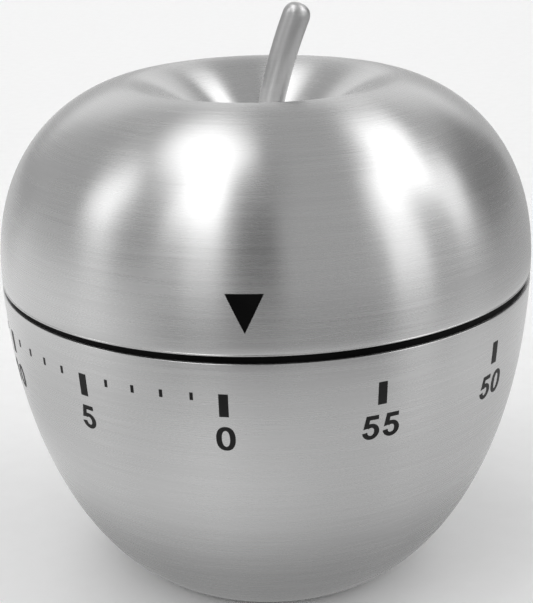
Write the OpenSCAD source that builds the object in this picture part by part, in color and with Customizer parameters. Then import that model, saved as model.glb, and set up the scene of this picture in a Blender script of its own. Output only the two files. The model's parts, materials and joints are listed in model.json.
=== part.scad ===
// Sixty-minute mechanical kitchen timer: two steel shells around a spring-driven
// movement with a bell. Millimetres. Z is up, the base rests on z = 0, and the zero
// mark of the scale faces -Y. Positive dial turn is clockwise seen from above.

/* [Body] */

// Largest outer radius of the shells
body_r = 30; // [25:0.5:40]

// Height of the widest line of the body
equator_z = 36.686; // [30:0.1:45]

// Height of the crest around the dimple
crest_z = 56.865; // [48:0.1:70]

// Radius of the crest
crest_r = 14.786; // [8:0.1:20]

// Radius of the flat base
base_r = 15.73; // [10:0.1:22]

// Sheet thickness of both shells
wall = 0.5; // [0.4:0.05:1]

// Height of the lower shell's rim
lower_rim_z = 35.3; // [30:0.1:45]

// Height of the upper shell's rim
upper_rim_z = 36.15; // [30:0.1:45]

// Radius of the dimple's floor
dimple_r = 2; // [1.5:0.1:4]

// Height of the dimple's floor
dimple_z = 48; // [46:0.1:54]

/* [Base] */

// Radius of the recess that takes the pad
recess_r = 10.8; // [8:0.1:14]

// Depth of the recess
recess_depth = 1.2; // [0.8:0.1:2]

/* [Stem] */

// Bend radius of the stem's centreline
stem_bend_r = 60; // [40:1:120]

// Lean of the stem where it leaves the dimple
stem_lean = 6.5; // [0:0.5:12]

// Radius of the stem at its foot
stem_foot_r = 1.35; // [1:0.05:2]

// Radius of the stem at its tip
stem_tip_r = 1.52; // [1:0.02:2]

// Overall height of the object, at the stem's tip
overall_z = 64.9; // [60:0.05:75]

/* [Scale] */

// Thickness of the printed ink
ink = 0.05; // [0.03:0.01:0.1]

// Bottom of the long marks
long_mark_low = 29.72; // [28:0.02:31]

// Top of the long marks
long_mark_high = 32.16; // [31.5:0.02:33]

// Bottom of the short marks
short_mark_low = 31.4; // [30:0.05:31.8]

// Top of the short marks
short_mark_high = 32.2; // [32:0.05:33]

// Width of a long mark
long_mark_w = 0.94; // [0.6:0.02:1.4]

// Width of a short mark
short_mark_w = 0.34; // [0.2:0.02:0.8]

// Minutes from zero that carry short marks
short_mark_span = 15; // [5:5:60]

// Bottom of the numerals
digit_z = 25.95; // [20:0.05:30]

// Height of the numerals
digit_h = 2.64; // [2:0.02:4]

// Stroke width of the numerals
stroke = 0.56; // [0.3:0.02:0.8]

// Distance between the two digits of a numeral
digit_pitch = 2.2; // [2:0.05:3]

// Slope of the print across the body, rising to the right of the zero mark, in degrees
scale_slope = 0.6; // [-1:0.1:1]

// Minutes past zero at which the dial has come to rest
rest_minutes = 0.725; // [0:0.005:2]

// Height of the pointer's top edge
pointer_high = 42.16; // [40:0.02:46]

// Height of the pointer's tip
pointer_low = 38.4; // [37:0.1:39.5]

// Width of the pointer's top edge, in degrees around the body
pointer_deg = 7.1; // [4:0.1:10]

/* [Movement] */

// Teeth of the great wheel
great_teeth = 64; // [48:1:72]

// Teeth of the second and third wheels
train_teeth = 48; // [40:1:60]

// Teeth of every pinion
pinion_teeth = 8; // [6:1:12]

// Teeth of the escape wheel
escape_teeth = 18; // [12:1:24]

// Points of the star wheel
star_points = 12; // [8:1:16]

// Radial play of every running fit
play = 0.05; // [0.02:0.01:0.08]

/* [Hidden] */

$fn = 96;

// Levels of the movement, from the bell up to the spring drum
bell_rim_z = 13.5;
bell_crown_z = 5.2;
bell_wall = 0.8;
bell_r = 17;
plate_t = 1;
low_plate_z = 15;
top_plate_z = 27;
gap_low = low_plate_z + plate_t;
plate_clear = 0.2;
drum_top_z = 34.5;
drum_r = 16;
hub_shoulder_z = 38;
arbor_top_z = 43.4;
cam_z = 16.4;
cam_t = 0.6;
lug_z = 17.15;
lug_top_z = 17.7;
third_wheel_z = 17.9;
second_wheel_z = 19.6;
escape_wheel_z = 21.2;
balance_z = 22.4;
great_z = 23.6;
ratchet_z = 24.8;
wheel_t = 0.8;
great_t = 1;

// Train geometry
great_module = 0.35;
second_module = 0.3;
third_module = 0.25;
tooth_shift = 0.3;
backlash = 0.04;
arbor_r = 0.6;
pivot_r = 0.4;
main_r = 2;

great_to_second = (great_teeth + pinion_teeth) * great_module / 2;
second_to_third = (train_teeth + pinion_teeth) * second_module / 2;
third_to_escape = (train_teeth + pinion_teeth) * third_module / 2;
escape_to_balance = 6.9;
star_to_hammer = 6.2;

second_heading = -90;
third_heading = 20;
escape_heading = 52;
balance_heading = 80;
star_heading = 150;
hammer_heading = 60;

function along(p, d, a) = [p[0] + d * cos(a), p[1] + d * sin(a)];

second_p = along([0, 0], great_to_second, second_heading);
third_p = along(second_p, second_to_third, third_heading);
escape_p = along(third_p, third_to_escape, escape_heading);
balance_p = along(escape_p, escape_to_balance, balance_heading);
star_p = along([0, 0], great_to_second, star_heading);
hammer_p = along(star_p, star_to_hammer, hammer_heading);

// Angle of the tooth that a driven gear shows when it meshes with its driver
function mesh_phase(phase, heading, n1, n2) =
    heading + 180 + 180 / n2 - (phase - heading) * n1 / n2;

great_phase = second_heading;
second_pinion_phase = mesh_phase(great_phase, second_heading, great_teeth, pinion_teeth);
second_wheel_phase = third_heading;
third_pinion_phase =
    mesh_phase(second_wheel_phase, third_heading, train_teeth, pinion_teeth);
third_wheel_phase = escape_heading;
escape_pinion_phase =
    mesh_phase(third_wheel_phase, escape_heading, train_teeth, pinion_teeth);
star_pinion_phase = mesh_phase(great_phase, star_heading, great_teeth, pinion_teeth);

// Escapement
escape_r = 5.2;
pin_r = 0.25;
pin_gap = 0.1;
pin_half_angle = 25;
pin_orbit = escape_r + pin_r + pin_gap;
pallet_reach = sqrt(pow(escape_to_balance - pin_orbit * cos(pin_half_angle), 2)
    + pow(pin_orbit * sin(pin_half_angle), 2));
pallet_spread = atan2(pin_orbit * sin(pin_half_angle),
    escape_to_balance - pin_orbit * cos(pin_half_angle));
hairspring_r = 4;
hairspring_z = 19;

// Strike
star_r = 4.5;
head_p = [-13.4, 3.6];
head_r = 1.8;
finger_l = 2.6;
finger_heading = -72;
tail_l = 9.35;
tail_heading = -36.2;
lug_heading = -60;
stop_heading = lug_heading + 7.5;
stop_r = 8;

// Fixings
pillar_r = 19.4;
pillar_headings = [-35, 85, 205];
screw_headings = [25, 145, 265];
carrier_screw_r = 24;
ear_r = 17.8;

// Visible direction of the stem's lean
stem_heading = 8.44;

steel = [0.78, 0.78, 0.79];
polished = [0.84, 0.84, 0.85];
brass = [0.8, 0.65, 0.35];
black = [0.06, 0.06, 0.065];
dark = [0.15, 0.15, 0.16];
blued = [0.25, 0.28, 0.36];
rubber = [0.09, 0.09, 0.09];

// ---- profile of the body ----

function bez(p, t) = pow(1 - t, 3) * p[0] + 3 * pow(1 - t, 2) * t * p[1]
    + 3 * (1 - t) * t * t * p[2] + t * t * t * p[3];

function bez_d(p, t) = 3 * pow(1 - t, 2) * (p[1] - p[0])
    + 6 * (1 - t) * t * (p[2] - p[1]) + 3 * t * t * (p[3] - p[2]);

// Point moved to the left of the direction of travel
function side(p, t, d) = let (v = bez_d(p, t)) bez(p, t) + d * [-v[1], v[0]] / norm(v);

function t_at(p, z, lo = 0, hi = 1, n = 24) = let (m = (lo + hi) / 2)
    n == 0 ? m : bez(p, m)[1] < z ? t_at(p, z, m, hi, n - 1) : t_at(p, z, lo, m, n - 1);

lower_curve = [
    [base_r, 0], [base_r + 5.43, 2.465], [body_r, equator_z - 22], [body_r, equator_z]
];
upper_curve = [
    [body_r, equator_z], [body_r, equator_z + 16.267], [crest_r + 3, crest_z],
    [crest_r, crest_z]
];
dimple_curve = [
    [crest_r, crest_z], [crest_r - 4.556, crest_z], [dimple_r + 0.589, dimple_z + 1.02],
    [dimple_r, dimple_z]
];

function run(p, d, t0, t1, n) = [for (i = [0:n]) side(p, t0 + (t1 - t0) * i / n, d)];

lower_end = t_at(lower_curve, lower_rim_z - 0.2);

lower_steps = 30;
upper_steps = 26;
dimple_steps = 16;

// Thin band of ink that follows a curve between two heights
module ink_band(curve, z0, z1) {
    t0 = t_at(curve, z0);
    t1 = t_at(curve, z1);
    n = 6;
    inner = run(curve, 0, t0, t1, n);
    outer = run(curve, -ink, t0, t1, n);
    rotate_extrude()
        polygon(concat(inner, [for (i = [n:-1:0]) outer[i]]));
}

// Places a flat drawing against the front of the body at an angle around it
module facing(angle) {
    rotate([0, 0, angle])
        translate([0, -body_r + 3, 0])
            rotate([90, 0, 0])
                linear_extrude(height = 5)
                    children();
}

// ---- numerals ----

digit_w = 1.95;

module slot_shape(r) {
    translate([digit_w / 2, digit_w / 2])
        circle(r = r);
    translate([digit_w / 2, digit_h - digit_w / 2])
        circle(r = r);
    translate([digit_w / 2 - r, digit_w / 2])
        square([2 * r, digit_h - digit_w]);
}

module digit_0() {
    difference() {
        slot_shape(digit_w / 2);
        slot_shape(digit_w / 2 - stroke);
    }
}

module digit_1() {
    x = 1.05;
    translate([x, 0])
        square([stroke, digit_h]);
    polygon([[x + 0.1, digit_h], [0.35, digit_h - 0.55], [0.35, digit_h - 1.08],
        [x + 0.1, digit_h - 0.62]]);
}

module arc_ring(c, r) {
    translate(c)
        difference() {
            circle(r = r);
            circle(r = r - stroke);
        }
}

module digit_2() {
    r = 0.86;
    c = [digit_w / 2, digit_h - r];
    intersection() {
        arc_ring(c, r);
        polygon([[0, c[1]], [c[0], c[1]], [digit_w + 0.2, c[1] - 1.1], [digit_w + 0.2, 4],
            [0, 4]]);
    }
    polygon([[0.08, 0], [0.95, 0], [1.67, 1.38], [1.2, 1.62], [0.08, 0.45]]);
    translate([0.08, 0])
        square([digit_w - 0.14, stroke - 0.04]);
}

module digit_3() {
    rt = 0.78;
    rb = 0.84;
    ct = [0.9, digit_h - rt];
    cb = [0.9, rb];
    difference() {
        union() {
            arc_ring(ct, rt);
            arc_ring(cb, rb);
        }
        translate([-0.5, rb])
            square([1.35, digit_h - rb - rt]);
    }
}

module digit_4() {
    difference() {
        polygon([[1.08, 0], [1.62, 0], [1.62, 0.55], [1.95, 0.55], [1.95, 1.02],
            [1.62, 1.02], [1.62, digit_h], [1.0, digit_h], [0, 1.08], [0, 0.55], [1.08, 0.55]]);
        polygon([[0.56, 1.02], [1.08, 1.02], [1.08, 1.86]]);
    }
}

module digit_5() {
    r = 0.9;
    c = [0.94, r];
    translate([0.22, digit_h - stroke + 0.04])
        square([1.5, stroke - 0.04]);
    polygon([[0.1, 1.24], [0.62, 1.3], [0.72, digit_h], [0.22, digit_h]]);
    difference() {
        arc_ring(c, r);
        translate([-0.2, 0.66])
            square([0.9, 0.58]);
    }
}

module digit(d) {
    if (d == 0) digit_0();
    if (d == 1) digit_1();
    if (d == 2) digit_2();
    if (d == 3) digit_3();
    if (d == 4) digit_4();
    if (d == 5) digit_5();
}

// One or two digits, centred
module number(m) {
    tens = floor(m / 10);
    ones = m % 10;
    if (tens == 0) {
        translate([-digit_w / 2, 0])
            digit(ones);
    } else {
        translate([-(digit_pitch + digit_w) / 2, 0])
            digit(tens);
        translate([(digit_pitch - digit_w) / 2, 0])
            digit(ones);
    }
}

// ---- shells, print and stem ----

module lower_shell() {
    outer = run(lower_curve, 0, 0, lower_end, lower_steps);
    inner = run(lower_curve, wall, 0.012, lower_end - 0.01, lower_steps);
    top_r = outer[lower_steps][0];
    lip = 0.95;
    color(steel)
        rotate_extrude()
            polygon(concat(
                [[recess_r, 0]],
                outer,
                [[top_r - 0.05, lower_rim_z - 0.06], [top_r - 0.2, lower_rim_z],
                    [top_r - lip, lower_rim_z], [top_r - lip, lower_rim_z - wall],
                    [inner[lower_steps][0], lower_rim_z - wall]],
                [for (i = [lower_steps - 1:-1:1]) inner[i]],
                [[base_r - 0.2, wall], [recess_r + wall, wall],
                    [recess_r + wall, recess_depth + wall], [0, recess_depth + wall],
                    [0, recess_depth], [recess_r, recess_depth]]
            ));
}

module base_pad() {
    color(rubber)
        difference() {
            cylinder(r = recess_r - 0.15, h = recess_depth);
            for (r = [4, 6.6, 9.2])
                translate([0, 0, -1])
                    difference() {
                        cylinder(r = r + 0.25, h = 1.25);
                        translate([0, 0, -1])
                            cylinder(r = r - 0.25, h = 4);
                    }
        }
}

// Places a flat drawing at a minute of the scale, raised or lowered by the print's slope
module at_minute(m) {
    facing(-6 * m)
        translate([0, -body_r * sin(6 * m) * tan(scale_slope)])
            children();
}

// Marks of one kind, each a rectangle centred on its minute
module marks(minutes, w, low, high) {
    intersection() {
        ink_band(lower_curve, low - 0.5, high + 0.5);
        for (m = minutes)
            at_minute(m)
                translate([-w / 2, low])
                    square([w, high - low]);
    }
}

module scale_print() {
    color(dark)
        union() {
            marks([0:5:55], long_mark_w, long_mark_low, long_mark_high);
            marks([for (m = [1:short_mark_span - 1]) if (m % 5 != 0) m],
                short_mark_w, short_mark_low, short_mark_high);
            intersection() {
                ink_band(lower_curve, digit_z - 0.5, digit_z + digit_h + 0.5);
                for (m = [0:5:55])
                    at_minute(m)
                        translate([0, digit_z])
                            number(m);
            }
        }
}

module upper_shell() {
    n = upper_steps;
    k = dimple_steps;
    inner_up = run(upper_curve, wall, 0, 1, n);
    inner_dimple = run(dimple_curve, wall, 0, 1, k);
    color(steel)
        rotate_extrude()
            polygon(concat(
                [[body_r - 1.1, upper_rim_z], [body_r - 0.25, upper_rim_z],
                    [body_r - 0.08, upper_rim_z + 0.07], [body_r - 0.02, upper_rim_z + 0.25]],
                run(upper_curve, 0, 0, 1, n),
                [for (i = [1:k]) bez(dimple_curve, i / k)],
                [[1.05, dimple_z], [1.05, dimple_z - wall], [dimple_r, dimple_z - wall]],
                [for (i = [k:-1:1]) inner_dimple[i]],
                [for (i = [n:-1:1]) inner_up[i]],
                [[body_r - wall, upper_rim_z + wall], [body_r - 1.1, upper_rim_z + wall]]
            ));
}

module pointer_print() {
    half = body_r * sin(pointer_deg / 2);
    color(black)
        intersection() {
            ink_band(upper_curve, pointer_low - 0.3, pointer_high + 0.3);
            facing(6 * rest_minutes)
                polygon([[0, pointer_low], [half, pointer_high], [-half, pointer_high]]);
        }
}

// Rings of the stem: [distance along the bent centreline, radius]
stem_stud = 3.4;
stem_length = let (rise = overall_z - stem_tip_r - dimple_z)
    stem_bend_r * (asin(sin(stem_lean) + rise / stem_bend_r) - stem_lean) * PI / 180;
stem_body_rings = [for (i = [0:14]) let (u = i / 14)
    [stem_length * u, stem_foot_r + (stem_tip_r - stem_foot_r) * pow(u, 0.7)]];
stem_dome_rings = [for (a = [12:12:84]) [stem_length + stem_tip_r * sin(a), stem_tip_r * cos(a)]];
stem_rings = concat(
    [[-stem_stud, 1], [-0.001, 1], [0, 1.75], [0.35, 1.7], [0.6, stem_foot_r + 0.05]],
    [for (i = [1:14]) stem_body_rings[i]],
    stem_dome_rings
);
stem_sides = 32;

// Centre and tilt of the stem at a distance along it; straight below the dimple's floor
// and beyond the last ring of the body
function stem_tilt(s) = s <= 0 ? 0 : stem_lean + min(s, stem_length) / stem_bend_r * 180 / PI;
function stem_centre(s) = s <= 0 ? [0, dimple_z + s] :
    let (q = min(s, stem_length), a = stem_tilt(s), over = s - q)
        [stem_bend_r * (cos(stem_lean) - cos(a)) + over * sin(a),
            dimple_z + stem_bend_r * (sin(a) - sin(stem_lean)) + over * cos(a)];

module stem() {
    n = len(stem_rings);
    side_points = [for (ring = stem_rings) for (k = [0:stem_sides - 1])
        let (a = 360 * k / stem_sides, c = stem_centre(ring[0]), t = stem_tilt(ring[0]))
            [c[0] + ring[1] * cos(a) * cos(t), ring[1] * sin(a),
                c[1] - ring[1] * cos(a) * sin(t)]];
    s_end = stem_length + stem_tip_r;
    top = stem_centre(s_end);
    points = concat(side_points, [[0, 0, dimple_z - stem_stud], [top[0], 0, top[1]]]);
    low_centre = n * stem_sides;
    walls = [for (i = [0:n - 2]) for (k = [0:stem_sides - 1])
        let (k2 = (k + 1) % stem_sides, a = i * stem_sides, b = a + stem_sides)
            each [[a + k, b + k, b + k2], [a + k, b + k2, a + k2]]];
    bottom_cap = [for (k = [0:stem_sides - 1]) [low_centre, k, (k + 1) % stem_sides]];
    top_cap = [for (k = [0:stem_sides - 1]) let (a = (n - 1) * stem_sides)
        [low_centre + 1, a + (k + 1) % stem_sides, a + k]];
    color(polished)
        rotate([0, 0, stem_heading])
            polyhedron(points = points, faces = concat(walls, bottom_cap, top_cap));
}

module stem_washer() {
    color(steel)
        translate([0, 0, dimple_z - wall - 0.6])
            difference() {
                cylinder(r = 3, h = 0.6);
                translate([0, 0, -1])
                    cylinder(r = 1.1, h = 3);
            }
}

module stem_nut() {
    color(brass)
        translate([0, 0, dimple_z - wall - 2.2])
            difference() {
                cylinder(r = 2.6, h = 1.6, $fn = 6);
                translate([0, 0, -1])
                    cylinder(r = 1.03, h = 4);
            }
}

// Section of a shaft with one flat
module d_section(r, flat) {
    difference() {
        circle(r = r);
        translate([flat, -r])
            square([r, 2 * r]);
    }
}

module dial_hub() {
    color(black)
        difference() {
            rotate_extrude()
                polygon([[1, 38], [4, 38], [4.5, 39.6], [28.2, 39.6], [28.2, 36.8],
                    [29.4, 36.8], [29.4, 38.6], [29, 41], [5, 41], [4, 44], [1, 44]]);
            translate([0, 0, 37])
                linear_extrude(height = 10)
                    d_section(1.53, 1.03);
            for (a = [0:60:300])
                rotate([0, 0, a + 30])
                    translate([16, 0, 39])
                        cylinder(r = 5, h = 4);
        }
}

// ---- fixed frame ----

module movement_carrier() {
    color(black)
        difference() {
            rotate_extrude()
                polygon([[25.9, 22.2], [27.5, 22.2], [28.3, 26], [28.7, 30],
                    [28.8, lower_rim_z], [29.68, lower_rim_z], [29.68, upper_rim_z - 0.22],
                    [28, upper_rim_z - 0.22], [28, 39.3], [27, 39.3],
                    [27, top_plate_z], [22.6, top_plate_z], [22.6, 24.6], [26.3, 24.6]]);
            for (a = screw_headings)
                rotate([0, 0, a])
                    translate([carrier_screw_r, 0, 24])
                        cylinder(r = 0.82, h = 5);
        }
}

module mounting_screws() {
    color(steel)
        for (a = screw_headings)
            rotate([0, 0, a])
                translate([carrier_screw_r, 0, 0])
                    screw_shape(top_plate_z + plate_t, 1.7, 0.9, 0.8, 3.2);
}

// Screw whose head stands on z0, with a slot in the head
module screw_shape(z0, head_r, head_h, shank_r, shank_l) {
    difference() {
        union() {
            translate([0, 0, z0])
                cylinder(r = head_r, h = head_h);
            translate([0, 0, z0 - shank_l])
                cylinder(r = shank_r, h = shank_l + head_h / 2);
        }
        translate([-head_r - 1, -0.2, z0 + head_h * 0.5])
            cube([2 * head_r + 2, 0.4, head_h]);
    }
}

train_pivots = [second_p, third_p, escape_p, balance_p, star_p];

module plate_hole(p, r) {
    translate([p[0], p[1], -1])
        cylinder(r = r, h = plate_t + 2);
}

module bottom_plate() {
    color(brass)
        translate([0, 0, low_plate_z])
            difference() {
                cylinder(r = 21.5, h = plate_t);
                plate_hole([0, 0], 1 + play);
                for (p = train_pivots)
                    plate_hole(p, pivot_r + play);
                plate_hole(hammer_p, arbor_r + play);
                for (a = pillar_headings)
                    plate_hole(along([0, 0], pillar_r, a), 0.92);
                plate_hole(along([0, 0], stop_r, stop_heading), 0.61);
                plate_hole(along(balance_p, hairspring_r + 0.45, 0), 0.41);
                plate_hole([-14, -4], 3.2);
                plate_hole([5, 15], 3);
            }
}

module top_plate() {
    color(brass)
        translate([0, 0, top_plate_z])
            difference() {
                cylinder(r = 25, h = plate_t);
                plate_hole([0, 0], main_r + play);
                for (p = concat(train_pivots, [hammer_p]))
                    plate_hole(p, pivot_r + play);
                for (a = pillar_headings)
                    plate_hole(along([0, 0], pillar_r, a), 0.85);
                for (a = screw_headings) {
                    plate_hole(along([0, 0], carrier_screw_r, a), 0.95);
                    plate_hole(along([0, 0], ear_r, a), 0.63);
                }
            }
}

module frame_pillars() {
    color(brass)
        for (a = pillar_headings)
            rotate([0, 0, a])
                translate([pillar_r, 0, 0]) {
                    translate([0, 0, gap_low])
                        cylinder(r = 1.5, h = top_plate_z - gap_low);
                    translate([0, 0, low_plate_z])
                        cylinder(r = 0.9, h = plate_t + 1);
                    translate([0, 0, top_plate_z - 1])
                        cylinder(r = 0.8, h = plate_t + 2.4);
                }
}

module pillar_nuts() {
    color(steel)
        for (a = pillar_headings)
            rotate([0, 0, a])
                translate([pillar_r, 0, top_plate_z + plate_t])
                    difference() {
                        cylinder(r = 1.75, h = 1.1, $fn = 6);
                        translate([0, 0, -1])
                            cylinder(r = 0.82, h = 4);
                    }
}

module spring_drum() {
    z0 = top_plate_z + plate_t;
    t = 0.5;
    color(steel) {
        rotate_extrude()
            polygon([[drum_r - t, z0], [drum_r, z0], [drum_r, drum_top_z - 0.3],
                [drum_r - 0.3, drum_top_z], [2.4, drum_top_z], [2.4, drum_top_z - t],
                [drum_r - t, drum_top_z - t]]);
        translate([0, 0, z0])
            linear_extrude(height = t)
                difference() {
                    for (a = screw_headings)
                        rotate(a) {
                            translate([ear_r, 0])
                                circle(r = 1.7);
                            translate([drum_r - 0.8, -1.3])
                                square([ear_r - drum_r, 2.6]);
                        }
                    circle(r = drum_r - t / 2);
                    for (a = screw_headings)
                        rotate(a)
                            translate([ear_r, 0])
                                circle(r = 0.63);
                }
    }
}

module drum_screws() {
    color(steel)
        for (a = screw_headings)
            rotate([0, 0, a])
                translate([ear_r, 0, 0])
                    screw_shape(top_plate_z + plate_t + 0.5, 1.3, 0.7, 0.6, 1.6);
}

// Flat spiral strip from r0 to r1
module spiral(r0, r1, turns, t, h, start) {
    n = 20 * turns;
    function at(i, o) = let (u = i / n, r = r0 + (r1 - r0) * u + o, a = start + 360 * turns * u)
        [r * cos(a), r * sin(a)];
    linear_extrude(height = h)
        polygon(concat([for (i = [0:n]) at(i, t / 2)], [for (i = [n:-1:0]) at(i, -t / 2)]));
}

module mainspring() {
    color(blued)
        translate([0, 0, top_plate_z + plate_t + 0.8])
            spiral(2.25, drum_r - 0.8, 7, 0.34, 4.4, 0);
}

// ---- gears ----

function inv_deg(a) = tan(a) * 180 / PI - a;

// Half of a tooth's angle at radius r
function tooth_half(r, rp, rb, s) = max(0.7,
    s / (2 * rp) * 180 / PI + inv_deg(20) - (r <= rb ? 0 : inv_deg(acos(rb / r))));

module gear_2d(n, m, shift, add, ded) {
    rp = n * m / 2;
    rb = rp * cos(20);
    ra = rp + add * m;
    rr = rp - ded * m;
    s = m * (PI / 2 + 2 * shift * tan(20)) - backlash;
    r0 = max(rb, rr);
    radii = [rr, r0 + 0.001, r0 + (ra - r0) * 0.35, r0 + (ra - r0) * 0.7, ra];
    k = len(radii);
    polygon([for (i = [0:n - 1]) let (c = 360 * i / n) each concat(
        [for (j = [0:k - 1]) let (a = c - tooth_half(radii[j], rp, rb, s))
            [radii[j] * cos(a), radii[j] * sin(a)]],
        [for (j = [k - 1:-1:0]) let (a = c + tooth_half(radii[j], rp, rb, s))
            [radii[j] * cos(a), radii[j] * sin(a)]]
    )]);
}

module wheel_2d(n, m, bore) {
    rim = n * m / 2 - 1.45 * m - 0.9;
    hub = bore + 1;
    difference() {
        gear_2d(n, m, -tooth_shift, 0.55, 1.45);
        circle(r = bore);
        difference() {
            circle(r = rim);
            circle(r = hub);
            for (a = [0, 60, 120])
                rotate(a)
                    translate([-rim - 1, -0.55])
                        square([2 * rim + 2, 1.1]);
        }
    }
}

module wheel_at(p, z, t, n, m, bore, phase) {
    translate([p[0], p[1], z])
        rotate([0, 0, phase])
            linear_extrude(height = t)
                wheel_2d(n, m, bore);
}

// Arbor with a pivot at each end and a pinion cut on it
module pinion_arbor(p, pinion_z, pinion_l, m, phase, r = arbor_r) {
    translate([p[0], p[1], 0]) {
        translate([0, 0, gap_low + plate_clear])
            cylinder(r = r, h = top_plate_z - gap_low - 2 * plate_clear);
        translate([0, 0, low_plate_z + plate_clear])
            cylinder(r = pivot_r, h = top_plate_z + plate_t - low_plate_z - 2 * plate_clear);
        translate([0, 0, pinion_z])
            rotate([0, 0, phase])
                linear_extrude(height = pinion_l)
                    gear_2d(pinion_teeth, m, tooth_shift, 1.15, 0.85);
    }
}

module main_arbor() {
    color(steel) {
        translate([0, 0, low_plate_z + plate_clear])
            cylinder(r = 1, h = 3);
        translate([0, 0, gap_low + plate_clear])
            cylinder(r = main_r, h = hub_shoulder_z - gap_low - plate_clear);
        translate([0, 0, hub_shoulder_z - 1])
            linear_extrude(height = arbor_top_z - hub_shoulder_z + 1)
                d_section(1.5, 1);
    }
}

module stop_cam() {
    color(steel)
        difference() {
            union() {
                difference() {
                    translate([0, 0, cam_z])
                        cylinder(r = 6, h = cam_t);
                    rotate([0, 0, 92.5])
                        translate([5, -0.9, cam_z - 1])
                            cube([3, 2.6, 4]);
                }
                translate([0, 0, cam_z + cam_t])
                    cylinder(r = 3.5, h = lug_top_z - cam_z - cam_t);
                rotate([0, 0, lug_heading])
                    translate([0, -0.4, lug_z])
                        cube([8.6, 0.8, lug_top_z - lug_z]);
            }
            translate([0, 0, cam_z - 1])
                cylinder(r = main_r + 0.01, h = 4);
        }
}

module stop_pin() {
    p = along([0, 0], stop_r, stop_heading);
    color(steel)
        translate([p[0], p[1], low_plate_z])
            cylinder(r = 0.6, h = lug_top_z - low_plate_z);
}

module ratchet_wheel() {
    n = 14;
    tip = 4.6;
    root = 3.7;
    color(steel)
        translate([0, 0, ratchet_z])
            linear_extrude(height = great_t)
                difference() {
                    polygon([for (i = [0:n - 1]) each [
                        [tip * cos(360 * i / n), tip * sin(360 * i / n)],
                        [root * cos(360 * i / n + 2), root * sin(360 * i / n + 2)]
                    ]]);
                    circle(r = main_r + 0.01);
                }
}

module great_wheel() {
    color(brass)
        difference() {
            wheel_at([0, 0], great_z, great_t, great_teeth, great_module,
                main_r + play, great_phase);
            translate([7.6, 0, great_z - 1])
                cylinder(r = 0.51, h = 4);
        }
}

click_pivot_r = 7.6;

// Pawl that rides on the great wheel and holds the ratchet wheel
module click() {
    color(steel)
        translate([click_pivot_r, 0, 0]) {
            translate([0, 0, great_z])
                cylinder(r = 0.5, h = great_t + 1.6);
            translate([0, 0, great_z + great_t + 0.2])
                linear_extrude(height = great_t) {
                    circle(r = 1.1);
                    polygon([[-0.5, 0.95], [-3.2, 2.35], [-3.6, 2.3], [-3, 1.55],
                        [-0.9, -0.5]]);
                }
        }
}

// Wire spring that presses the pawl
module click_spring() {
    color(blued)
        rotate([0, 0, 62])
            translate([0, 0, great_z + great_t + 0.35])
                rotate_extrude(angle = -46)
                    translate([6.7, 0])
                        square([0.25, 0.6]);
}

module second_pinion() {
    color(steel)
        pinion_arbor(second_p, great_z - 0.2, great_t + 0.4, great_module,
            second_pinion_phase);
}

module second_wheel() {
    color(brass)
        wheel_at(second_p, second_wheel_z, wheel_t, train_teeth, second_module,
            arbor_r + 0.01, second_wheel_phase);
}

module third_pinion() {
    color(steel)
        pinion_arbor(third_p, second_wheel_z - 0.2, wheel_t + 0.4, second_module,
            third_pinion_phase);
}

module third_wheel() {
    color(brass)
        wheel_at(third_p, third_wheel_z, wheel_t, train_teeth, third_module,
            arbor_r + 0.01, third_wheel_phase);
}

module escape_pinion() {
    color(steel)
        pinion_arbor(escape_p, third_wheel_z - 0.2, wheel_t + 0.4, third_module,
            escape_pinion_phase);
}

module escape_wheel() {
    n = escape_teeth;
    root = 4.1;
    pitch = 360 / n;
    phase = balance_heading + pin_half_angle + pitch / 4;
    color(brass)
        translate([escape_p[0], escape_p[1], escape_wheel_z])
            rotate([0, 0, phase])
                linear_extrude(height = wheel_t)
                    difference() {
                        polygon([for (i = [0:n - 1]) let (c = i * pitch) each [
                            [root * cos(c - 6.5), root * sin(c - 6.5)],
                            [escape_r * cos(c - 0.8), escape_r * sin(c - 0.8)],
                            [escape_r * cos(c + 0.8), escape_r * sin(c + 0.8)],
                            [root * cos(c + 4), root * sin(c + 4)]
                        ]]);
                        circle(r = arbor_r + 0.01);
                        for (a = [45:90:315])
                            rotate(a)
                                translate([2.3, 0])
                                    circle(r = 0.9);
                    }
}

module balance_staff() {
    r = 0.5;
    color(steel)
        translate([balance_p[0], balance_p[1], 0]) {
            translate([0, 0, gap_low + plate_clear])
                cylinder(r = r, h = top_plate_z - gap_low - 2 * plate_clear);
            translate([0, 0, low_plate_z + plate_clear])
                cylinder(r = pivot_r, h = top_plate_z + plate_t - low_plate_z - 2 * plate_clear);
            translate([0, 0, hairspring_z - 0.1])
                cylinder(r = 1.05, h = 0.7);
        }
}

module balance_ring() {
    color(brass)
        translate([balance_p[0], balance_p[1], balance_z])
            linear_extrude(height = 0.9)
                difference() {
                    circle(r = 6);
                    difference() {
                        circle(r = 5.1);
                        circle(r = 1.1);
                        rotate(balance_heading)
                            translate([-6, -0.5])
                                square([12, 1]);
                    }
                    circle(r = 0.51);
                }
}

module pallet_lever() {
    plate_z = escape_wheel_z - 1;
    color(steel)
        translate([balance_p[0], balance_p[1], 0])
            rotate([0, 0, balance_heading + 180])
                difference() {
                    union() {
                        translate([0, 0, plate_z])
                            cylinder(r = 1.15, h = 0.7);
                        for (k = [-1, 1])
                            rotate([0, 0, k * pallet_spread]) {
                                translate([0, -0.42, plate_z])
                                    cube([pallet_reach, 0.84, 0.7]);
                                translate([pallet_reach, 0, plate_z])
                                    cylinder(r = 0.42, h = 0.7);
                                translate([pallet_reach, 0, plate_z])
                                    cylinder(r = pin_r, h = escape_wheel_z + wheel_t - plate_z + 0.1);
                            }
                    }
                    translate([0, 0, plate_z - 1])
                        cylinder(r = 0.51, h = 3);
                }
}

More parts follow.
